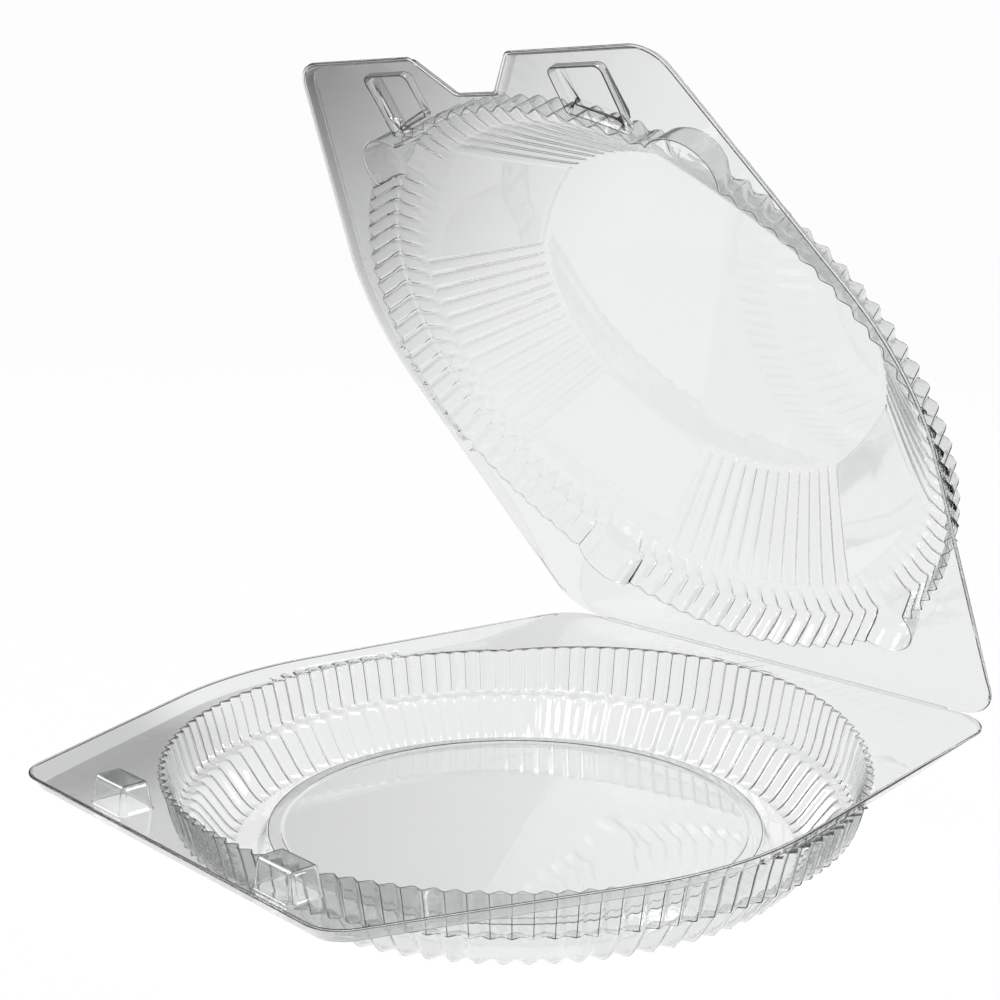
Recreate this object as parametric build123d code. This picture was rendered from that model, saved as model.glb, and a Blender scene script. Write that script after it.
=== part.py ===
import os
from math import acos, atan2, cos, hypot, pi, radians, sin

from build123d import *

# Clear hinged pie container, thermoformed from one sheet: a round tray and a domed lid.
# X runs along the hinge, +Y points to the hinge, +Z is up, the tray stands on Z = 0.
# Every recess is made as a cavity and as a skin, which is the cavity grown by the sheet.

# Sheet
sheet = 0.5
mating_gap = 0.3
hinge_gap = 0.15

# Flange outline seen from above
hinge_half_width = 109.6
hinge_to_centre = 139.0
bulge_radius = 130.0
bulge_behind_centre = -14.0
front_half_width = 85.0
flange_length = 288.0
hinge_corner_radius = 20.0
front_corner_radius = 14.0

# Notch between the two front tabs of the lid
notch_half_width = 23.5
notch_floor_half_width = 9.5
notch_depth = 14.5
notch_corner_radius = 3.0

# Lip at the cut edge and the sloped rim wall that leads down to the flange
lip_width = 1.2
tray_rim_depth = 5.0
tray_rim_run = 3.2
lid_rim_depth = 2.8
lid_rim_run = 1.8
ramp_start = 12.0
ramp_length = 44.0

# Round well of the tray
tray_depth = 38.0
well_radius = 125.6
well_wall_lean = 4.2
fine_flutes = 120
fine_flute_depth = 2.4
upper_wall_height = 16.5
ledge_width = 6.0
ledge_drop = 0.8
coarse_flutes = 84
coarse_flute_depth = 2.6
foot_radius = 104.5
foot_width = 10.0
floor_rise = 6.0
floor_radius = 89.0
floor_step_radius = 84.0
floor_step_height = 0.8
circle_sides = 84

# Latch bumps on the tray and the pockets of the lid that drop over them
latch_offset = 46.0
latch_width = 22.0
latch_length = 14.0
latch_height = 9.5
latch_setback = 9.0
latch_taper = 1.8
latch_clearance = 0.8
latch_headroom = 2.2
pocket_reach = 13.0

# Fluted ring around the dome of the lid
ring_radius = 127.0
ring_height = 12.0
ring_lean = 2.4
ring_flutes = 96
ring_flute_depth = 2.2
shoulder_width = 11.5
shoulder_rise = 2.0

# Plain lobes that stand out of the ring
lobe_angle = 35.0
lobe_radius = 14.0
lobe_reach = 8.5
lobe_lean = 2.5
lobe_rounding = 3.5
lobe_sides = 28

# Dome wall with ribbed and plain panels, and the flat top
dome_height = 47.0
disc_radius = 77.0
wall_setback = 0.3
disc_edge = 2.0
disc_edge_drop = 1.2
ribs_per_panel = 13
rib_pitch_angle = 4.0
rib_depth = 1.8
plain_panel_steps = 6
plain_panel_flatness = 0.6

# How far the lid stands open
lid_open_angle = 54.7

parting = tray_depth
overshoot = 2.0
far = 400.0


def tangent_angle(point_x, point_y, centre_y, radius, side):
    # direction from the bulge centre to where a line through the point touches the bulge
    dx = point_x
    dy = point_y - centre_y
    distance = hypot(dx, dy)
    return atan2(dy, dx) + side * acos(radius / distance)


def crossing(a, b, c, inset):
    # corner b of the path a, b, c after both of its sides move inwards by inset
    first = (b[0] - a[0], b[1] - a[1])
    second = (c[0] - b[0], c[1] - b[1])
    len_first = hypot(*first)
    len_second = hypot(*second)
    n1 = (-first[1] / len_first, first[0] / len_first)
    n2 = (-second[1] / len_second, second[0] / len_second)
    bisect = (n1[0] + n2[0], n1[1] + n2[1])
    scale = inset / (1.0 + n1[0] * n2[0] + n1[1] * n2[1])
    return (b[0] + bisect[0] * scale, b[1] + bisect[1] * scale)


def outline(inset, notched, hinge_inset):
    # closed face of the flange in plan, every edge moved inwards by inset
    hinge_y = hinge_to_centre
    front_y = hinge_to_centre - flange_length
    centre_y = bulge_behind_centre
    lower = tangent_angle(front_half_width, front_y, centre_y, bulge_radius, 1)
    upper = tangent_angle(hinge_half_width, hinge_y, centre_y, bulge_radius, -1)
    radius = bulge_radius - inset
    t_low = (radius * cos(lower), centre_y + radius * sin(lower))
    t_mid = (radius * cos((lower + upper) / 2), centre_y + radius * sin((lower + upper) / 2))
    t_up = (radius * cos(upper), centre_y + radius * sin(upper))
    full_low = (bulge_radius * cos(lower), centre_y + bulge_radius * sin(lower))
    full_up = (bulge_radius * cos(upper), centre_y + bulge_radius * sin(upper))
    front = (front_half_width, front_y)
    rear = (hinge_half_width, hinge_y)
    left_front = (-front_half_width, front_y)
    left_rear = (-hinge_half_width, hinge_y)
    f = crossing(left_front, front, full_low, inset)
    h = crossing(full_up, rear, left_rear, inset)
    slope = (rear[0] - full_up[0]) / (rear[1] - full_up[1])
    h = (h[0] + slope * (hinge_y - hinge_inset - h[1]), hinge_y - hinge_inset)
    if notched:
        a = (notch_floor_half_width, front_y + notch_depth)
        b = (notch_half_width, front_y)
        na = crossing((-a[0], a[1]), a, b, inset)
        nb = crossing(a, b, front, inset)
    path = []
    if notched:
        path.append(Line((-nb[0], nb[1]), (-na[0], na[1])))
        path.append(Line((-na[0], na[1]), na))
        path.append(Line(na, nb))
        path.append(Line(nb, f))
    else:
        path.append(Line((-f[0], f[1]), f))
    path.append(Line(f, t_low))
    path.append(ThreePointArc(t_low, t_mid, t_up))
    path.append(Line(t_up, h))
    path.append(Line(h, (-h[0], h[1])))
    path.append(Line((-h[0], h[1]), (-t_up[0], t_up[1])))
    path.append(ThreePointArc((-t_up[0], t_up[1]), (-t_mid[0], t_mid[1]), (-t_low[0], t_low[1])))
    path.append(Line((-t_low[0], t_low[1]), (-f[0], f[1])))
    if notched:
        path.append(Line((-f[0], f[1]), (-nb[0], nb[1])))
    face = make_face(path).face()
    rounds = [(f, front_corner_radius - inset), (h, hinge_corner_radius - inset)]
    if notched:
        rounds.append((na, notch_corner_radius + inset))
        rounds.append((nb, max(notch_corner_radius - inset, 0.8)))
    for corner, corner_radius in rounds:
        for side in (1, -1):
            spot = Vector(side * corner[0], corner[1], 0)
            vertex = min(face.vertices(), key=lambda v: (v.center() - spot).length)
            face = face.fillet_2d(corner_radius, [vertex])
    return face


def at_height(face, z):
    return face.moved(Location((0, 0, z)))


def tower(sections):
    # solid with straight walls between wires that have the same number of edges
    return Solid.make_loft(sections, ruled=True)


def fluted_wire(radius, depth_share, count, z):
    # closed polygon of outer crests and inner valleys; depth_share is a share of the radius,
    # so that sections of different size keep flat faces between them
    points = []
    for i in range(2 * count):
        angle = pi * i / count
        r = radius * (1 - depth_share) if i % 2 == 0 else radius
        points.append((r * cos(angle), r * sin(angle), z))
    return Wire.make_polygon(points, close=True)


def ring_wire(radius, z, sides, x=0.0, y=0.0):
    # regular polygon that stands for a circle
    loop = []
    for i in range(sides):
        angle = 2 * pi * i / sides
        loop.append((x + radius * cos(angle), y + radius * sin(angle), z))
    return Wire.make_polygon(loop, close=True)


def rim_recess(grow, rim_depth, rim_run, notched, up):
    # recess inside the rim; it ramps back to the parting plane beside the hinge
    top = parting + (mating_gap if up else 0.0)
    sign = 1 if up else -1
    inset_mouth = lip_width - grow
    inset_floor = lip_width + rim_run - grow
    depth = rim_depth + grow
    floor_z = top + sign * depth
    over = overshoot if grow == 0 else 0.0
    mouth = at_height(outline(inset_mouth, notched, inset_mouth), top).outer_wire()
    floor = at_height(outline(inset_floor, notched, inset_floor), floor_z).outer_wire()
    body = tower([mouth, floor])
    if grow == 0:
        lid_face = at_height(outline(inset_mouth, notched, inset_mouth), top)
        body = body + extrude(lid_face, amount=-sign * over, dir=(0, 0, 1))
    y_level = hinge_to_centre - ramp_start - ramp_length
    y_end = hinge_to_centre - ramp_start
    base_z = top + sign * grow
    profile = Polyline(
        (0, -far, floor_z),
        (0, y_level, floor_z),
        (0, y_end, base_z),
        (0, far, base_z),
        (0, far, top - sign * overshoot),
        (0, -far, top - sign * overshoot),
        close=True,
    )
    keep = extrude(make_face(profile), amount=far, both=True, dir=(1, 0, 0))
    return body & keep


def well(grow):
    # the round well: fine flutes, ledge, coarse flutes, foot ring and raised floor
    z_flange = parting - tray_rim_depth
    z_ledge = z_flange - upper_wall_height - grow
    lean = well_wall_lean / upper_wall_height
    top_z = parting + (overshoot if grow == 0 else 0.0)
    top_radius = well_radius + grow + lean * (parting - z_flange) * 0.5
    ledge_radius = well_radius - well_wall_lean + grow
    fine_share = fine_flute_depth / well_radius
    upper = tower([
        fluted_wire(top_radius, fine_share, fine_flutes, top_z),
        fluted_wire(well_radius + grow, fine_share, fine_flutes, z_flange),
        fluted_wire(ledge_radius, fine_share, fine_flutes, z_ledge),
    ])
    lower_radius = ledge_radius - ledge_width
    z_ledge_low = z_ledge - ledge_drop
    cone = tower([
        ring_wire(ledge_radius * (1 - fine_share) - 0.2, z_ledge, circle_sides),
        ring_wire(lower_radius, z_ledge_low, circle_sides),
    ])
    z_foot = sheet - grow
    foot_r = foot_radius + grow
    coarse_share = coarse_flute_depth / foot_radius
    lower = tower([
        fluted_wire(lower_radius, coarse_share, coarse_flutes, z_ledge_low),
        fluted_wire(foot_r, coarse_share, coarse_flutes, z_foot),
    ])
    body = upper + cone + lower
    inner_foot = foot_radius - coarse_flute_depth - foot_width
    punt = tower([
        ring_wire(inner_foot - grow, z_foot - 1.0, circle_sides),
        ring_wire(inner_foot - grow, z_foot, circle_sides),
        ring_wire(floor_radius - grow, z_foot + floor_rise, circle_sides),
    ])
    step = tower([
        ring_wire(floor_step_radius + grow, z_foot + floor_rise + 1.0, circle_sides),
        ring_wire(floor_step_radius - floor_step_height + grow,
                  z_foot + floor_rise - floor_step_height, circle_sides),
    ])
    return (body - punt) + step


def latch_block(grow):
    # tapered block of the latch bump on the tray
    length = latch_length + 2 * grow
    width = latch_width + 2 * grow
    centre_y = hinge_to_centre - flange_length + latch_setback + latch_length / 2
    low_z = parting - tray_rim_depth - sheet - overshoot
    high_z = parting - tray_rim_depth + latch_height + grow
    blocks = []
    for side in (-1, 1):
        spot = (side * latch_offset, centre_y)
        foot = Pos(spot[0], spot[1], low_z) * RectangleRounded(width, length, 3.0 + grow)
        head = Pos(spot[0], spot[1], high_z) * RectangleRounded(
            width - 2 * latch_taper, length - 2 * latch_taper, 3.0 + grow
        )
        blocks.append(tower([foot.face().outer_wire(), head.face().outer_wire()]))
    return blocks


def latch_pocket(grow):
    # pocket in the lid, open towards the ring, that the bump enters
    centre_y = hinge_to_centre - flange_length + latch_setback + latch_length / 2
    low_z = parting + mating_gap
    high_z = parting - tray_rim_depth + latch_height + latch_headroom + grow
    width = latch_width + 2 * latch_clearance + 2 * grow
    front_y = centre_y - latch_length / 2 - latch_clearance - grow
    rear_y = centre_y + latch_length / 2 + pocket_reach
    length = rear_y - front_y
    pockets = []
    for side in (-1, 1):
        spot = (side * latch_offset, (front_y + rear_y) / 2)
        foot = Pos(spot[0], spot[1], low_z) * RectangleRounded(width, length, 3.0 + grow)
        head = Pos(spot[0], spot[1], high_z) * RectangleRounded(
            width - latch_taper, length - latch_taper, 3.0 + grow
        )
        pockets.append(tower([foot.face().outer_wire(), head.face().outer_wire()]))
    return pockets


def dome_wire(radius, depth_share, z):
    # ribbed panels on the four axes and flatter plain panels between them
    points = []
    half_ribbed = ribs_per_panel * rib_pitch_angle / 2
    half_plain = 45.0 - half_ribbed
    for quarter in range(4):
        axis = 90.0 * quarter
        for i in range(2 * ribs_per_panel):
            angle = axis - half_ribbed + i * rib_pitch_angle / 2
            r = radius * (1 - depth_share) if i % 2 == 0 else radius
            points.append((angle, r))
        for i in range(plain_panel_steps):
            offset = -half_plain + 2 * half_plain * i / plain_panel_steps
            chord = cos(radians(half_plain)) / cos(radians(offset))
            r = radius * (1 - depth_share) * (1 - plain_panel_flatness * (1 - chord))
            points.append((axis + 45.0 + offset, r))
    loop = [(r * cos(radians(a)), r * sin(radians(a)), z) for a, r in points]
    return Wire.make_polygon(loop, close=True)


def dome(grow):
    # fluted ring, shoulder, lobes, ribbed dome wall and flat top
    low_z = parting + mating_gap
    z_flange = low_z + lid_rim_depth
    start_z = low_z - (overshoot if grow == 0 else 0.0)
    z_crest = z_flange + ring_height + grow
    crest_radius = ring_radius - ring_lean + grow
    z_shoulder = z_crest + shoulder_rise
    shoulder_radius = crest_radius - shoulder_width
    ring_share = ring_flute_depth / ring_radius
    ring = tower([
        fluted_wire(ring_radius + grow, ring_share, ring_flutes, start_z),
        fluted_wire(crest_radius, ring_share, ring_flutes, z_crest),
        fluted_wire(shoulder_radius, ring_share, ring_flutes, z_shoulder),
    ])
    z_disc = z_flange + dome_height + grow
    disc_r = disc_radius + grow
    rib_share = rib_depth / disc_radius
    wall = tower([
        dome_wire(shoulder_radius * (1 - ring_share) - wall_setback, rib_share, z_shoulder),
        dome_wire(disc_r + disc_edge, rib_share, z_disc - disc_edge_drop),
        dome_wire(disc_r, rib_share, z_disc),
    ])
    body = ring + wall
    lobe_place = ring_radius - lobe_radius + lobe_reach
    for turn in (lobe_angle, 180 - lobe_angle, 180 + lobe_angle, 360 - lobe_angle):
        x = lobe_place * sin(radians(turn))
        y = lobe_place * cos(radians(turn))
        lobe = tower([
            ring_wire(lobe_radius + grow, start_z, lobe_sides, x, y),
            ring_wire(lobe_radius - lobe_lean + grow, z_crest - lobe_rounding / 2, lobe_sides, x, y),
            ring_wire(lobe_radius - lobe_lean - lobe_rounding + grow, z_crest, lobe_sides, x, y),
        ])
        body = body + lobe
    return body


def lip_plate(notched, up):
    plate = outline(0.0, notched, hinge_gap)
    z = parting + (mating_gap if up else 0.0)
    plate = at_height(plate, z)
    return extrude(plate, amount=sheet if up else -sheet, dir=(0, 0, 1))


def solid_of(shape):
    solids = shape.solids()
    return max(solids, key=lambda s: s.volume)


def make_tray():
    cavity = rim_recess(0.0, tray_rim_depth, tray_rim_run, False, False) + well(0.0)
    skin = lip_plate(False, False)
    skin = skin + rim_recess(sheet, tray_rim_depth, tray_rim_run, False, False)
    skin = skin + well(sheet)
    for block in latch_block(0.0):
        cavity = cavity - block
        skin = skin + (block & lens())
    for block in latch_block(-sheet):
        skin = skin - block
    return solid_of(skin - cavity)


def lens():
    # everything above the flange of the tray, where the latch bumps stand
    z_flange = parting - tray_rim_depth
    return Pos(0, 0, z_flange - sheet + 100) * Box(2 * far, 2 * far, 200)


def make_lid():
    cavity = rim_recess(0.0, lid_rim_depth, lid_rim_run, True, True) + dome(0.0)
    skin = lip_plate(True, True)
    skin = skin + rim_recess(sheet, lid_rim_depth, lid_rim_run, True, True)
    skin = skin + dome(sheet)
    for pocket in latch_pocket(sheet):
        skin = skin + pocket
    for pocket in latch_pocket(0.0):
        cavity = cavity + pocket
    closed = solid_of(skin - cavity)
    hinge = Axis((0, hinge_to_centre, parting + mating_gap / 2), (-1, 0, 0))
    return closed.rotate(hinge, lid_open_angle)


def over_origin(pieces):
    # the origin is under the middle of the whole open container
    box = Compound(children=[copy_of(piece) for piece in pieces]).bounding_box()
    shift = -(box.min.Y + box.max.Y) / 2
    print("shift along Y", shift)
    return [piece.moved(Location((0, shift, 0))) for piece in pieces]


def copy_of(piece):
    return piece.moved(Location((0, 0, 0)))


if __name__ == "__main__":
    tray, lid = over_origin([make_tray(), make_lid()])
    print("tray", tray.volume, tray.is_valid)
    print("lid", lid.volume, lid.is_valid)
    os.makedirs("parts", exist_ok=True)
    export_step(tray, "parts/tray.step")
    export_step(lid, "parts/lid.step")
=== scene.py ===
from math import acos, atan2, cos, hypot, pi, radians, sin, tan

import bmesh
import bpy
import numpy as np
from mathutils import Matrix, Vector


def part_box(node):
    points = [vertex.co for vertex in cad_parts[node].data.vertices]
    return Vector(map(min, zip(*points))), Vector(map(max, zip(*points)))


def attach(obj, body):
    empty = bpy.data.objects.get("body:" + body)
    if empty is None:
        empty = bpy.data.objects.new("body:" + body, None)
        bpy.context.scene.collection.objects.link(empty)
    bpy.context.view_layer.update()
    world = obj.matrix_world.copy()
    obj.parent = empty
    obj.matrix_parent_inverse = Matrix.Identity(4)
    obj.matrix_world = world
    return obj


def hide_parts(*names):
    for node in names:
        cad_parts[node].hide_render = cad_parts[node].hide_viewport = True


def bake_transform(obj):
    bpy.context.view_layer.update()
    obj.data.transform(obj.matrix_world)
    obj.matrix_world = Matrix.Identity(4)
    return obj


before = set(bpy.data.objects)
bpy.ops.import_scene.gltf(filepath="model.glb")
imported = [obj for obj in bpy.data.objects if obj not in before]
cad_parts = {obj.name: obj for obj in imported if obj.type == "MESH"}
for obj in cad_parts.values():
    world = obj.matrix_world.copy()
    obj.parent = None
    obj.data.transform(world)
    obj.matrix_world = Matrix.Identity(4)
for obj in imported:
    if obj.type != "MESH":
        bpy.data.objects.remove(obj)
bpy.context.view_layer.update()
millimetre = 0.001
print("frame loaded")


def linearColor(hexText):
    # sRGB hex to the linear colour that Blender works in
    channels = [int(hexText[i:i + 2], 16) / 255 for i in (1, 3, 5)]
    linear = [c / 12.92 if c <= 0.04045 else ((c + 0.055) / 1.055) ** 2.4 for c in channels]
    return (*linear, 1.0)


def addNode(tree, kind, inputs=None, **settings):
    # one node with its settings; an input is a value or another node's output
    node = tree.nodes.new(kind)
    for name, value in settings.items():
        setattr(node, name, value)
    for name, value in (inputs or {}).items():
        if isinstance(value, bpy.types.NodeSocket):
            tree.links.new(value, node.inputs[name])
        else:
            node.inputs[name].default_value = value
    return node


def emptyTree(owner):
    # node tree of a new material or world, with nothing in it yet
    owner.use_nodes = True
    owner.node_tree.nodes.clear()
    return owner.node_tree


def addToScene(name, shape, material):
    # turns a finished bmesh into an object at the origin
    mesh = bpy.data.meshes.new(name)
    shape.to_mesh(mesh)
    shape.free()
    mesh.materials.append(material)
    piece = bpy.data.objects.new(name, mesh)
    bpy.context.scene.collection.objects.link(piece)
    return piece


def pointAt(thing, place, aim):
    thing.location = place
    direction = Vector(aim) - Vector(place)
    thing.rotation_euler = direction.to_track_quat("-Z", "Y").to_euler()


# Camera at the photograph's viewing angle, with a lens wide enough for both corners beside the hinge
view = {
    "place": (0.43614, -0.40604, 0.24268),
    "aim": (-0.10547, 0.09158, 0.09601),
    "lens": 62.85,
    "sensor": 36,
}

cameraData = bpy.data.cameras.new("camera")
cameraData.lens = view["lens"]
cameraData.sensor_width = view["sensor"]
camera = bpy.data.objects.new("camera", cameraData)
bpy.context.scene.collection.objects.link(camera)
pointAt(camera, view["place"], view["aim"])
bpy.context.scene.camera = camera
print("camera set")


# PET sheet, thermoformed: clear and glossy, with the slow ripples that a drawn sheet keeps
petSheet = {
    "tint": "#EEEFEF",
    "roughness": 0.03,
    "ior": 1.57,
    "rippleSize": 0.014,
    "rippleDepth": 0.0003,
    "rippleStrength": 0.12,
    "rippleDetail": 1.0,
    "shadowTint": "#EAEAEA",  # what each face of the sheet lets through of a lamp's light
}


def makePetSheet():
    material = bpy.data.materials.new("clearPetSheet")
    tree = emptyTree(material)
    place = addNode(tree, "ShaderNodeTexCoord")
    ripple = addNode(tree, "ShaderNodeTexNoise", {
        "Vector": place.outputs["Object"],
        "Scale": 1 / petSheet["rippleSize"],
        "Detail": petSheet["rippleDetail"],
    })
    bump = addNode(tree, "ShaderNodeBump", {
        "Strength": petSheet["rippleStrength"],
        "Distance": petSheet["rippleDepth"],
        "Height": ripple.outputs["Fac"],
    })
    clear = addNode(tree, "ShaderNodeBsdfPrincipled", {
        "Base Color": linearColor(petSheet["tint"]),
        "Roughness": petSheet["roughness"],
        "IOR": petSheet["ior"],
        "Transmission Weight": 1.0,
        "Normal": bump.outputs["Normal"],
    })
    lampRay = addNode(tree, "ShaderNodeLightPath")
    through = addNode(tree, "ShaderNodeBsdfTransparent", {
        "Color": linearColor(petSheet["shadowTint"]),
    })
    mixed = addNode(tree, "ShaderNodeMixShader", {
        0: lampRay.outputs["Is Shadow Ray"],
        1: clear.outputs["BSDF"],
        2: through.outputs["BSDF"],
    })
    addNode(tree, "ShaderNodeOutputMaterial", {"Surface": mixed.outputs["Shader"]})
    return material


sheetMaterial = makePetSheet()
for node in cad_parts.values():
    node.data.materials.clear()
    node.data.materials.append(sheetMaterial)
print("clear sheet made")


# Formed sheet, in millimetres: the same sizes as the CAD source, with the soft folds of a drawn sheet
formed = {
    "sheet": 0.5,
    "parting": 38.0,
    "matingGap": 0.3,
    "hingeY": 139.0,
    "hingeGap": 0.15,
    "openAngle": 54.7,
    "turnSteps": 960,
    "flutePoint": 0.4,  # 0 gives a round wave, 1 a sharp one
    "sharpAngle": 40.0,
    "mergeDistance": 0.001,
    "cutDistance": 0.0001,
}
flange = {
    "hingeHalf": 109.6,
    "frontHalf": 85.0,
    "frontY": -149.0,
    "bulgeRadius": 130.0,
    "bulgeY": -14.0,
    "bulgeSteps": 40,
    "hingeCorner": 20.0,
    "frontCorner": 14.0,
    "notchHalf": 23.5,
    "notchFloorHalf": 9.5,
    "notchDepth": 14.5,
    "notchCorner": 3.0,
    "pathStep": 0.8,
    "lip": 1.2,
    "lipRound": 0.12,  # how far outside the rim wall the lip starts to fold, as a share of the wall's run
    "rimWall": ((0.06, 0.05), (0.5, 0.5), (0.94, 0.95), (1.12, 1.0)),  # shares of its run and of its depth
    "rampLow": 83.0,
    "rampHigh": 127.0,
}

turns = np.arange(formed["turnSteps"]) * 2 * pi / formed["turnSteps"]
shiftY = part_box("tray")[0].y / millimetre - flange["frontY"]  # centres the open container on the origin


def filletCorner(before, corner, after, radius, steps=8):
    # the corner of a path, replaced by points on an arc
    a = before - corner
    b = after - corner
    a /= np.linalg.norm(a)
    b /= np.linalg.norm(b)
    half = acos(float(np.clip(a @ b, -1, 1))) / 2
    reach = radius / tan(half)
    middle = corner + (a + b) / np.linalg.norm(a + b) * radius / sin(half)
    first = corner + a * reach - middle
    last = corner + b * reach - middle
    points = []
    for i in range(steps + 1):
        mix = first * (1 - i / steps) + last * (i / steps)
        points.append(middle + mix / np.linalg.norm(mix) * radius)
    return points


def flangePath(notched):
    # dense closed outline of the flange in plan, and which way is outwards at each point
    def touch(x, y, side):
        # where a straight run from a corner meets the bulge
        dx, dy = x, y - flange["bulgeY"]
        return atan2(dy, dx) + side * acos(flange["bulgeRadius"] / hypot(dx, dy))
    low = touch(flange["frontHalf"], flange["frontY"], 1)
    high = touch(flange["hingeHalf"], formed["hingeY"], -1)
    half = []
    if notched:
        notchFloor = flange["frontY"] + flange["notchDepth"]
        half.append((flange["notchFloorHalf"], notchFloor, flange["notchCorner"]))
        half.append((flange["notchHalf"], flange["frontY"], flange["notchCorner"]))
    half.append((flange["frontHalf"], flange["frontY"], flange["frontCorner"]))
    for i in range(flange["bulgeSteps"] + 1):
        angle = low + (high - low) * i / flange["bulgeSteps"]
        x = flange["bulgeRadius"] * cos(angle)
        half.append((x, flange["bulgeY"] + flange["bulgeRadius"] * sin(angle), 0))
    half.append((flange["hingeHalf"], formed["hingeY"], flange["hingeCorner"]))
    corners = half + [(-x, y, r) for x, y, r in reversed(half)]
    rounded = []
    for i, (x, y, r) in enumerate(corners):
        corner = np.array((x, y))
        if r == 0:
            rounded.append(corner)
            continue
        before = np.array(corners[i - 1][:2])
        after = np.array(corners[(i + 1) % len(corners)][:2])
        rounded.extend(filletCorner(before, corner, after, r))
    dense = []
    for i, point in enumerate(rounded):
        after = rounded[(i + 1) % len(rounded)]
        count = max(1, int(np.linalg.norm(after - point) / flange["pathStep"]))
        dense.extend(point + (after - point) * k / count for k in range(count))
    dense = np.array(dense)
    ahead = np.roll(dense, -1, 0) - np.roll(dense, 1, 0)
    outward = np.stack((ahead[:, 1], -ahead[:, 0]), 1)
    outward /= np.linalg.norm(outward, axis=1)[:, None]
    return dense, outward


def flangeRadius(path, inset):
    # distance from the centre to the inset outline, for every turn
    points = path[0] - path[1] * inset
    angle = np.arctan2(points[:, 1], points[:, 0]) % (2 * pi)
    order = np.argsort(angle)
    return np.interp(turns, angle[order], np.hypot(points[order, 0], points[order, 1]), period=2 * pi)


def ramp(y):
    # 1 where the flange is fully recessed, 0 beside the hinge
    return np.clip((flange["rampHigh"] - y) / (flange["rampHigh"] - flange["rampLow"]), 0, 1)


def flute(count):
    # soft-pointed wave round the circle: 1 in a valley, 0 on a crest
    smooth = (1 + np.cos(count * turns)) / 2
    pointed = np.abs((count * turns / pi) % 2 - 1)
    return (1 - formed["flutePoint"]) * smooth + formed["flutePoint"] * pointed


def ringPoints(radius, z):
    # one ring of points, where the radius and the height may change along the turn
    radius = np.broadcast_to(radius, turns.shape)
    z = np.broadcast_to(z, turns.shape)
    return np.stack((radius * np.cos(turns), radius * np.sin(turns), z), 1)


def rimRings(notched, z, depth, run):
    # lip, rim wall and the edge of the flange, from the cut edge inwards
    path = flangePath(notched)
    cutEdge = ringPoints(flangeRadius(path, 0), z)
    cutEdge[:, 1] = np.minimum(cutEdge[:, 1], formed["hingeY"] - formed["hingeGap"])
    drop = ramp(flangeRadius(path, flange["lip"]) * np.sin(turns))
    lip = flangeRadius(path, flange["lip"] - run * flange["lipRound"])
    rings = [cutEdge, ringPoints(lip, z)]
    for along, down in flange["rimWall"]:
        wall = flangeRadius(path, flange["lip"] + run * along)
        rings.append(ringPoints(lip + (wall - lip) * drop, z + depth * down * drop))
    rings[-1][:, 2] = z + depth * ramp(rings[-1][:, 1])
    return rings


def growSheet(shape, mark, edges, rings):
    # extrudes a closed loop of edges through rings of points
    for ring in rings:
        grown = bmesh.ops.extrude_edge_only(shape, edges=edges)["geom"]
        edges = [e for e in grown if isinstance(e, bmesh.types.BMEdge)]
        for vert in (v for v in grown if isinstance(v, bmesh.types.BMVert)):
            vert.co = ring[vert[mark]]
    return edges


def startLoop(shape, mark, points):
    # a closed loop of edges whose corners keep their number, for growSheet
    verts = bmesh.ops.create_circle(shape, segments=len(points), radius=1)["verts"]
    for i, vert in enumerate(verts):
        vert[mark] = i
        vert.co = points[i]
    return list({e for v in verts for e in v.link_edges})


def raisedShape(shape, mark, plan, steps):
    # loop in the flange with stepped walls above it and a flat top; steps are (inset, z)
    edges = startLoop(shape, mark, [(x, y, steps[0][1]) for x, y in plan])
    ahead = np.roll(plan, -1, 0) - np.roll(plan, 1, 0)
    inward = np.stack((-ahead[:, 1], ahead[:, 0]), 1)
    inward /= np.linalg.norm(inward, axis=1)[:, None]
    rings = [[(*(plan[i] + inward[i] * inset), z) for i in range(len(plan))] for inset, z in steps[1:]]
    top = growSheet(shape, mark, edges, rings)
    bmesh.ops.contextual_create(shape, geom=top)
    return edges


def roundedPlan(corners, radii, steps):
    # outline in plan with each corner rounded by its own radius
    points = []
    for i, corner in enumerate(corners):
        points.extend(filletCorner(corners[i - 1], corner, corners[(i + 1) % len(corners)], radii[i], steps))
    return np.array(points)


def fillFlange(shape, loops, z, depth):
    # flat web between the loops, cut and bent where it ramps up to the hinge
    before = set(shape.faces)
    edges = [e for loop in loops for e in loop]
    heights = {v: v.co.z for e in edges for v in e.verts}
    for v in heights:
        v.co.z = 0
    bmesh.ops.triangle_fill(shape, use_beauty=True, edges=edges, normal=(0, 0, 1))
    for v, height in heights.items():
        v.co.z = height
    for y in (flange["rampLow"], flange["rampHigh"]):
        web = [f for f in shape.faces if f not in before]
        geom = web + list({e for f in web for e in f.edges}) + list({v for f in web for v in f.verts})
        bmesh.ops.bisect_plane(
            shape, geom=geom, dist=formed["cutDistance"], plane_co=(0, y, 0), plane_no=(0, 1, 0))
    web = [f for f in shape.faces if f not in before]
    for v in {v for f in web for v in f.verts}:
        if v not in heights:
            v.co.z = z + depth * float(ramp(v.co.y))


def placeInFrame(shape):
    # from the source's millimetres to the frame's metres
    bmesh.ops.translate(shape, verts=shape.verts, vec=(0, shiftY, 0))
    bmesh.ops.scale(shape, verts=shape.verts, vec=(millimetre, millimetre, millimetre))


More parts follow.
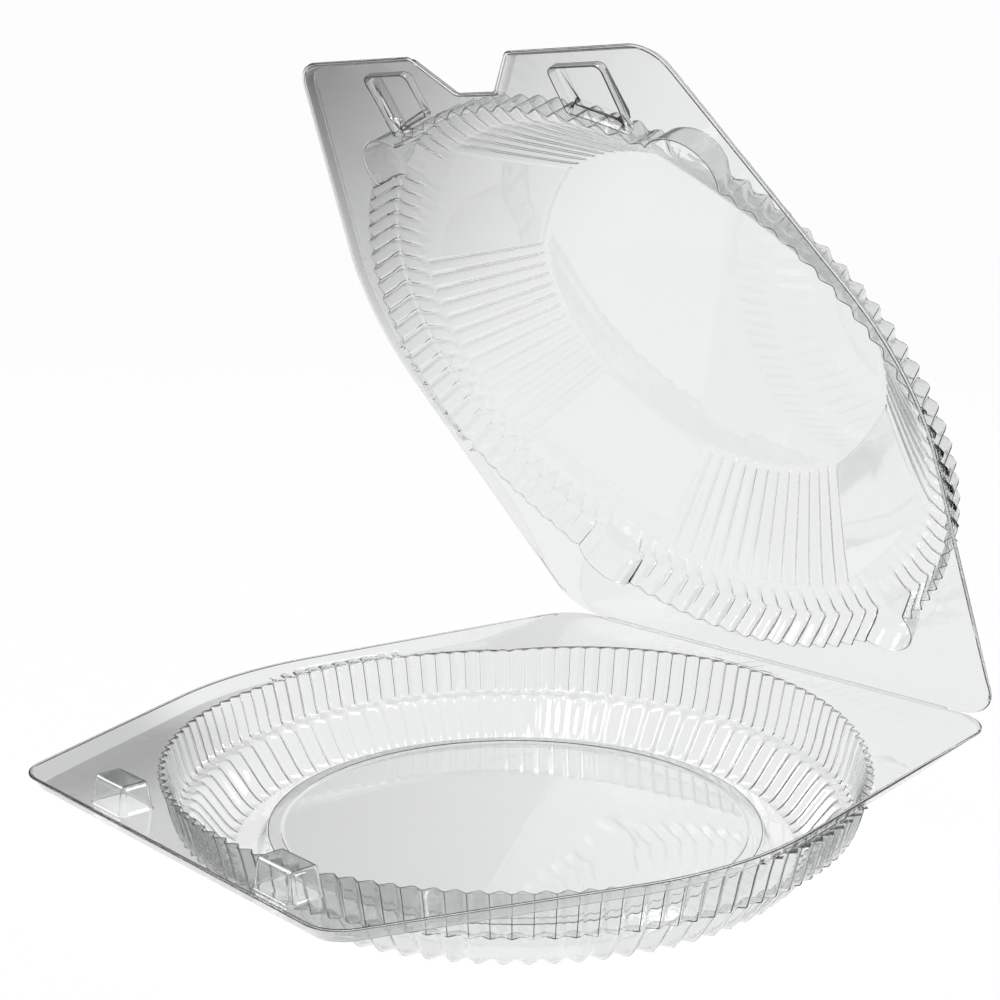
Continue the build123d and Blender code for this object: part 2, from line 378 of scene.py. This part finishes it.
def finishSheet(shape, name, body, towardsCavity, lift):
    # faces turned to the cavity, the lid swung open, then placed, thickened and shaded
    bmesh.ops.remove_doubles(shape, verts=shape.verts, dist=formed["mergeDistance"])
    bmesh.ops.recalc_face_normals(shape, faces=shape.faces)
    widest = max(shape.faces, key=lambda f: f.calc_area())
    if widest.normal.z * towardsCavity < 0:
        bmesh.ops.reverse_faces(shape, faces=shape.faces)
    if lift:
        pivot = Vector((0, formed["hingeY"], formed["parting"] + formed["matingGap"] / 2))
        bmesh.ops.rotate(shape, verts=shape.verts, cent=pivot,
                         matrix=Matrix.Rotation(radians(-formed["openAngle"]), 3, "X"))
    for face in shape.faces:
        face.smooth = True
    placeInFrame(shape)
    piece = addToScene(name, shape, sheetMaterial)
    piece.data.set_sharp_from_angle(angle=radians(formed["sharpAngle"]))
    wall = piece.modifiers.new("sheetWall", "SOLIDIFY")
    wall.thickness = formed["sheet"] * millimetre
    wall.offset = -1
    wall.use_even_offset = True
    even = piece.modifiers.new("evenNormals", "WEIGHTED_NORMAL")
    even.keep_sharp = True
    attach(piece, body)
    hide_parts(body)
    print(name, len(piece.data.polygons), "faces")


# Tray: lip, rim wall, fluted well with a ledge, flat floor and two latch bumps
trayShape = {
    "rimDepth": -5.0,
    "rimRun": 3.2,
    "wellRadius": 125.6,
    "mouthLean": 0.127,  # how much wider the mouth is for each millimetre that it rises beside the hinge
    "mouthRows": ((0.9, 0.0), (0.25, 0.25), (0.0, 1.0)),  # outside the wall, below the mouth
    "fineFlutes": 120,
    "fineDepth": 2.4,
    "wallLean": 4.2,
    "wallRows": (0.35, 0.7),  # shares of the way down to the ledge
    "ledgeZ": 16.5,
    "coarseFlutes": 84,
    # inside the foot of the fine wall, above the ledge, share of the fine depth, coarse depth
    "ledgeRows": (
        (-0.15, 1.2, 1, 0),
        (0.4, 0.3, 0.9, 0),
        (1.4, -0.1, 0.6, 0.3),
        (4.2, -0.5, 1 / 6, 1.2),
        (5.6, -1.0, 0, 2.2),
        (6.5, -2.2, 0, 2.6),
    ),
    # radius, height, coarse depth: the flutes end in scallops on the floor
    "lowerRows": (
        (111.3, 9.6, 2.6),
        (107.6, 4.5, 2.6),
        (105.6, 2.0, 3.0),
        (104.6, 0.95, 3.3),
        (103.2, 0.5, 3.2),
        (100.6, 0.5, 1.8),
    ),
    # radius, height: the foot that the tray stands on and the raised floor inside it
    "floorRows": (
        (98.5, 0.5),
        (92.6, 0.5),
        (91.6, 0.9),
        (89.5, 5.6),
        (88.7, 6.4),
        (87.4, 6.5),
        (84.4, 6.5),
        (83.9, 6.3),
        (83.3, 5.8),
        (82.6, 5.7),
    ),
    "latchPlace": (46.0, -133.0),
    "latchSize": (21.25, 13.25),
    "latchCorner": 3.0,
    "latchCornerSteps": 6,
    # inset from the outline, height above the flange
    "latchRows": ((0, 0), (0.4, 0.4), (0.7, 1.6), (1.4, 7.2), (1.8, 8.6), (2.3, 9.3), (2.75, 9.5)),
}


def latchPlan(side):
    x, y = trayShape["latchPlace"]
    wide, long = trayShape["latchSize"]
    signs = ((1, -1), (1, 1), (-1, 1), (-1, -1))
    corners = [np.array((side * x + sx * wide / 2, y + sy * long / 2)) for sx, sy in signs]
    return roundedPlan(corners, [trayShape["latchCorner"]] * 4, trayShape["latchCornerSteps"])


def makeTray():
    shape = bmesh.new()
    mark = shape.verts.layers.int.new("turn")
    top = formed["parting"]
    flat = top + trayShape["rimDepth"]
    rim = rimRings(False, top, trayShape["rimDepth"], trayShape["rimRun"])
    outer = growSheet(shape, mark, startLoop(shape, mark, rim[0]), rim[1:])

    radius = trayShape["wellRadius"]
    lean = trayShape["wallLean"]
    ledge = trayShape["ledgeZ"]
    mouthZ = top + trayShape["rimDepth"] * ramp(radius * np.sin(turns))
    mouthRadius = radius + (mouthZ - flat) * trayShape["mouthLean"]
    fine = trayShape["fineDepth"] * flute(trayShape["fineFlutes"])
    coarse = flute(trayShape["coarseFlutes"])
    rings = [ringPoints(mouthRadius + out - fine, mouthZ - below) for out, below in trayShape["mouthRows"]]
    for share in trayShape["wallRows"]:
        rings.append(ringPoints(mouthRadius - lean * share - fine, mouthZ + (ledge - mouthZ) * share))
    for inside, above, share, depth in trayShape["ledgeRows"]:
        rings.append(ringPoints(radius - lean - inside - share * fine - depth * coarse, ledge + above))
    rings += [ringPoints(r - depth * coarse, z) for r, z, depth in trayShape["lowerRows"]]
    rings += [ringPoints(r, z) for r, z in trayShape["floorRows"]]
    inner = startLoop(shape, mark, rings[0])
    floorEdge = growSheet(shape, mark, inner, rings[1:])
    bmesh.ops.contextual_create(shape, geom=floorEdge)

    steps = [(inset, flat + above) for inset, above in trayShape["latchRows"]]
    latches = [raisedShape(shape, mark, latchPlan(side), steps) for side in (-1, 1)]
    fillFlange(shape, [outer, inner, *latches], top, trayShape["rimDepth"])
    finishSheet(shape, "formedTray", "tray", 1, False)


# Lid: lip, rim wall, fluted ring with four lobes, ribbed dome and two latch pockets
lidShape = {
    "rimDepth": 2.8,
    "rimRun": 1.8,
    "ringRadius": 127.0,
    "ringFlutes": 96,
    "mouthFlute": 2.2,
    # outside the ring's wall, above the mouth, lobe radius
    "mouthRows": ((0.9, 0.0, 14.9), (0.25, 0.25, 14.2), (0.0, 1.0, 13.8)),
    # radius, height, flute depth, how far the valleys dip, lobe radius
    "ringRows": (
        (125.9, 46.5, 2.3, 0, 12.9),
        (125.0, 50.6, 2.4, 0, 12.0),
        (124.4, 52.1, 2.2, 0.3, 11.0),
        (123.5, 53.0, 2.0, 0.9, 9.6),
        (122.2, 53.3, 1.6, 1.5, 8.0),
        (120.0, 53.8, 1.2, 1.8, 0),
        (117.4, 54.3, 0.9, 1.5, 0),
        (114.8, 54.8, 0.6, 0.9, 0),
        (112.6, 55.1, 0.3, 0.3, 0),
    ),
    "lobeAngle": 35.0,
    "lobePlace": 121.5,
    "lobeCore": (122.0, 9.0, 2.0),  # ring radius, lobe radius and blend inside which no flute dips
    # radius, height, share of the rib depth
    "domeRows": (
        (111.4, 55.6, 0.3),
        (110.6, 56.6, 0.7),
        (103.0, 63.8, 1),
        (95.0, 71.4, 1),
        (87.0, 79.1, 1),
        (80.0, 85.9, 1),
        (78.9, 87.0, 0.8),
        (77.7, 87.8, 0.45),
        (76.0, 88.1, 0.15),
        (73.5, 88.1, 0),
    ),
    "ribPitch": 4.0,  # degrees
    "ribbedHalf": 26.0,
    "ribShare": 0.0234,
    "panelFlatness": 0.6,
    "pocketX": (34.6, 57.4),
    "pocketFront": -140.4,
    "pocketGap": 1.9,
    "pocketBackPoints": 6,
    "pocketCorners": (2.5, 0.8),  # at the front, beside the ring
    "pocketCornerSteps": 4,
    # inset from the outline, height above the flange
    "pocketRows": ((0, 0), (0.12, 0.8), (0.4, 3.0), (0.8, 3.4), (1.5, 3.6)),
}


def lobed(radius, lobeRadius):
    # the ring with the four plain lobes standing out of it
    out = np.array(radius)
    for turn in (90, -90):
        for side in (-1, 1):
            away = turns - radians(turn + side * lidShape["lobeAngle"])
            across = lidShape["lobePlace"] * np.sin(away)
            inside = (np.abs(across) < lobeRadius) & (np.cos(away) > 0)
            reach = lidShape["lobePlace"] * np.cos(away) + np.sqrt(
                np.clip(lobeRadius ** 2 - across ** 2, 0, None))
            out = np.where(inside, np.maximum(out, reach), out)
    return out


def panelled(radius, share):
    # ribbed panels on the axes, flatter plain panels between them
    angle = (np.degrees(turns) + 45) % 90 - 45
    half = lidShape["ribbedHalf"]
    wave = (1 + np.cos((angle + half) / lidShape["ribPitch"] * 2 * pi)) / 2
    ribs = radius * (1 - share * wave)
    offset = np.radians(45 - np.abs(angle))
    chord = cos(radians(45 - half)) / np.cos(offset)
    plain = radius * (1 - share) * (1 - lidShape["panelFlatness"] * (1 - chord))
    return np.where(np.abs(angle) < half, ribs, plain)


def pocketPlan():
    # straight front and sides, and a back that follows the ring
    low, high = lidShape["pocketX"]
    arc = lidShape["ringRadius"] + lidShape["pocketGap"]
    back = np.linspace(high, low, lidShape["pocketBackPoints"])
    corners = [(low, lidShape["pocketFront"]), (high, lidShape["pocketFront"])]
    corners += [(x, -(arc ** 2 - x ** 2) ** 0.5) for x in back]
    front, beside = lidShape["pocketCorners"]
    radii = [front] * 2 + [beside] * len(back)
    return roundedPlan([np.array(corner) for corner in corners], radii, lidShape["pocketCornerSteps"])


def makeLid():
    shape = bmesh.new()
    mark = shape.verts.layers.int.new("turn")
    low = formed["parting"] + formed["matingGap"]
    flat = low + lidShape["rimDepth"]
    rim = rimRings(True, low, lidShape["rimDepth"], lidShape["rimRun"])
    outer = growSheet(shape, mark, startLoop(shape, mark, rim[0]), rim[1:])

    radius = lidShape["ringRadius"]
    mouthZ = low + lidShape["rimDepth"] * ramp(radius * np.sin(turns))
    wave = flute(lidShape["ringFlutes"])
    coreRing, coreLobe, blend = lidShape["lobeCore"]
    standing = lobed(np.full(turns.shape, coreRing), coreLobe) - coreRing
    offLobe = 1 - np.clip(standing / blend, 0, 1)
    rings = []
    for out, above, lobe in lidShape["mouthRows"]:
        rings.append(ringPoints(lobed(radius + out - lidShape["mouthFlute"] * wave, lobe), mouthZ + above))
    for r, z, depth, dip, lobe in lidShape["ringRows"]:
        rings.append(ringPoints(lobed(r - depth * wave, lobe), z - dip * wave * offLobe))
    for r, z, share in lidShape["domeRows"]:
        rings.append(ringPoints(panelled(r, lidShape["ribShare"] * share), z))
    inner = startLoop(shape, mark, rings[0])
    discEdge = growSheet(shape, mark, inner, rings[1:])
    bmesh.ops.contextual_create(shape, geom=discEdge)

    steps = [(inset, flat + above) for inset, above in lidShape["pocketRows"]]
    right = pocketPlan()
    left = right[::-1] * (-1, 1)
    pockets = [raisedShape(shape, mark, plan, steps) for plan in (right, left)]
    fillFlange(shape, [outer, inner, *pockets], low, lidShape["rimDepth"])
    finishSheet(shape, "formedLid", "lid", -1, True)


# Living hinge: a thin web, in millimetres, that joins the two cut edges with one fold between them
hinge = {
    "half": 88.0,
    "trayEdge": (138.85, 37.75),  # y and z, as for the next two
    "fold": (139.22, 37.98),
    "lidEdge": (139.24, 38.5),
    "film": 0.3,
}


def makeHinge():
    shape = bmesh.new()
    first = []
    for x in (-hinge["half"], hinge["half"]):
        first += bmesh.ops.create_vert(shape, co=(x, *hinge["trayEdge"]))["vert"]
    edges = bmesh.ops.contextual_create(shape, geom=first)["edges"]
    at = Vector(hinge["trayEdge"])
    for point in (hinge["fold"], hinge["lidEdge"]):
        grown = bmesh.ops.extrude_edge_only(shape, edges=edges)["geom"]
        edges = [e for e in grown if isinstance(e, bmesh.types.BMEdge) and all(v in grown for v in e.verts)]
        step = Vector(point) - at
        bmesh.ops.translate(shape, verts=[v for v in grown if isinstance(v, bmesh.types.BMVert)],
                            vec=(0, step.x, step.y))
        at = Vector(point)
    bmesh.ops.recalc_face_normals(shape, faces=shape.faces)
    placeInFrame(shape)
    bmesh.ops.solidify(shape, geom=shape.faces, thickness=hinge["film"] * millimetre)
    piece = addToScene("hingeFilm", shape, sheetMaterial)
    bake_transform(piece)


makeTray()
makeLid()
makeHinge()
print("formed pieces made")


# Studio: pale floor, white world and three soft lamps
studio = {
    "floorRadius": 4.0,
    "floorSides": 96,
    "floorTone": "#F2F2F2",
    "floorGlow": 0.96,  # share of plain white in the floor, as seen directly, in gloss or through the sheet
    "worldTone": "#FDFDFD",  # as seen directly or through the sheet
    "roomTone": "#B4B4B4",  # as seen in gloss, and the room's own light
    "lampAim": (0, 0, 0.1),
    # place, size and watts
    "lamps": {
        "topLamp": ((0.2, -0.1, 1.6), (0.9, 0.9), 12),
        "leftLamp": ((-1.3, -0.9, 0.9), (0.5, 0.8), 8),
        "rightLamp": ((1.4, 0.5, 0.7), (0.5, 0.8), 8),
    },
}


def makeFloor():
    material = bpy.data.materials.new("paleFloor")
    tree = emptyTree(material)
    matt = addNode(tree, "ShaderNodeBsdfDiffuse", {"Color": linearColor(studio["floorTone"])})
    glow = addNode(tree, "ShaderNodeEmission", {"Color": (1, 1, 1, 1), "Strength": 1.0})
    rays = addNode(tree, "ShaderNodeLightPath")
    seenOrMirrored = addNode(tree, "ShaderNodeMath", {
        0: rays.outputs["Is Camera Ray"],
        1: rays.outputs["Is Glossy Ray"],
    }, operation="MAXIMUM")
    seen = addNode(tree, "ShaderNodeMath", {
        0: seenOrMirrored.outputs[0],
        1: rays.outputs["Is Transmission Ray"],
    }, operation="MAXIMUM")
    share = addNode(tree, "ShaderNodeMath", {
        0: seen.outputs[0],
        1: studio["floorGlow"],
    }, operation="MULTIPLY")
    mixed = addNode(tree, "ShaderNodeMixShader", {
        0: share.outputs[0],
        1: matt.outputs["BSDF"],
        2: glow.outputs["Emission"],
    })
    addNode(tree, "ShaderNodeOutputMaterial", {"Surface": mixed.outputs["Shader"]})
    shape = bmesh.new()
    bmesh.ops.create_circle(shape, cap_ends=True, radius=studio["floorRadius"], segments=studio["floorSides"])
    addToScene("floor", shape, material)


def makeWorld():
    world = bpy.data.worlds.new("studio")
    bpy.context.scene.world = world
    tree = emptyTree(world)
    rays = addNode(tree, "ShaderNodeLightPath")
    seen = addNode(tree, "ShaderNodeMath", {
        0: rays.outputs["Is Camera Ray"],
        1: rays.outputs["Is Transmission Ray"],
    }, operation="MAXIMUM")
    room = addNode(tree, "ShaderNodeBackground", {"Color": linearColor(studio["roomTone"])})
    backdrop = addNode(tree, "ShaderNodeBackground", {"Color": linearColor(studio["worldTone"])})
    mixed = addNode(tree, "ShaderNodeMixShader", {
        0: seen.outputs[0],
        1: room.outputs["Background"],
        2: backdrop.outputs["Background"],
    })
    addNode(tree, "ShaderNodeOutputWorld", {"Surface": mixed.outputs["Shader"]})


def softLamp(name, place, size, watts):
    lampData = bpy.data.lights.new(name, "AREA")
    lampData.shape = "RECTANGLE"
    lampData.size, lampData.size_y = size
    lampData.energy = watts
    lamp = bpy.data.objects.new(name, lampData)
    bpy.context.scene.collection.objects.link(lamp)
    pointAt(lamp, place, studio["lampAim"])


makeFloor()
makeWorld()
for name, lamp in studio["lamps"].items():
    softLamp(name, *lamp)
print("studio set")


# Dark cards, which the camera sees only through the sheet and in its gloss: painted dark reflections that
# turn the clear tabs grey
cards = {
    # tone of the painted dark reflections
    "tone": "#1E1E1E",
    # one stands behind the left side, and fades out along a slanted line: a painted dark reflection in the
    # lid's left tab
    "foot": ((-0.80, 0.05, -0.02), (-0.30, 0.62, -0.02)),
    "height": 0.75,
    "fade": (-0.62, -0.37),
    "slant": 0.45,
    "pivot": 0.28,
    # one lies on the floor beyond the tray's left tip, and fades out round its core: a painted dark
    # reflection in that tip
    "spotPlace": (-0.185, -0.075, 0.0008),
    "spotRadius": 0.085,
    "spotSides": 48,
    "spotCore": 0.35,
    "spotShare": 0.66,
}


def finishCard(name, shape, material, fadeInputs):
    # painted dark reflection: dark at the near end of the fade and gone at its far end
    tree = material.node_tree
    fade = addNode(tree, "ShaderNodeMapRange", fadeInputs, interpolation_type="SMOOTHSTEP")
    dark = addNode(tree, "ShaderNodeEmission", {"Color": linearColor(cards["tone"])})
    gone = addNode(tree, "ShaderNodeBsdfTransparent")
    mixed = addNode(tree, "ShaderNodeMixShader", {
        0: fade.outputs["Result"],
        1: dark.outputs["Emission"],
        2: gone.outputs["BSDF"],
    })
    addNode(tree, "ShaderNodeOutputMaterial", {"Surface": mixed.outputs["Shader"]})
    card = addToScene(name, shape, material)
    card.visible_camera = False
    card.visible_shadow = False
    card.visible_diffuse = False


def makeStandingCard():
    shape = bmesh.new()
    ends = []
    for end in cards["foot"]:
        ends += bmesh.ops.create_vert(shape, co=end)["vert"]
    bottom = bmesh.ops.contextual_create(shape, geom=ends)["edges"]
    raised = bmesh.ops.extrude_edge_only(shape, edges=bottom)["geom"]
    top = [v for v in raised if isinstance(v, bmesh.types.BMVert)]
    bmesh.ops.translate(shape, verts=top, vec=(0, 0, cards["height"]))
    material = bpy.data.materials.new("paintedReflectionCard")
    tree = emptyTree(material)
    place = addNode(tree, "ShaderNodeTexCoord")
    parts = addNode(tree, "ShaderNodeSeparateXYZ", {"Vector": place.outputs["Object"]})
    below = addNode(tree, "ShaderNodeMath", {
        0: cards["pivot"],
        1: parts.outputs["Z"],
    }, operation="SUBTRACT")
    slanted = addNode(tree, "ShaderNodeMath", {
        0: below.outputs[0],
        1: cards["slant"],
        2: parts.outputs["X"],
    }, operation="MULTIPLY_ADD")
    finishCard("paintedReflectionCard", shape, material, {
        "Value": slanted.outputs[0],
        "From Min": cards["fade"][0],
        "From Max": cards["fade"][1],
    })


def makeFloorCard():
    shape = bmesh.new()
    bmesh.ops.create_circle(shape, cap_ends=True, radius=cards["spotRadius"], segments=cards["spotSides"])
    bmesh.ops.translate(shape, verts=shape.verts, vec=cards["spotPlace"])
    material = bpy.data.materials.new("paintedReflectionSpot")
    tree = emptyTree(material)
    place = addNode(tree, "ShaderNodeTexCoord")
    away = addNode(tree, "ShaderNodeVectorMath", {
        0: place.outputs["Object"],
        1: cards["spotPlace"],
    }, operation="DISTANCE")
    finishCard("paintedReflectionSpot", shape, material, {
        "Value": away.outputs["Value"],
        "From Min": cards["spotRadius"] * cards["spotCore"],
        "From Max": cards["spotRadius"],
        "To Min": cards["spotShare"],
    })


makeStandingCard()
makeFloorCard()
bpy.context.scene.view_settings.view_transform = "Standard"
print("dark cards set")
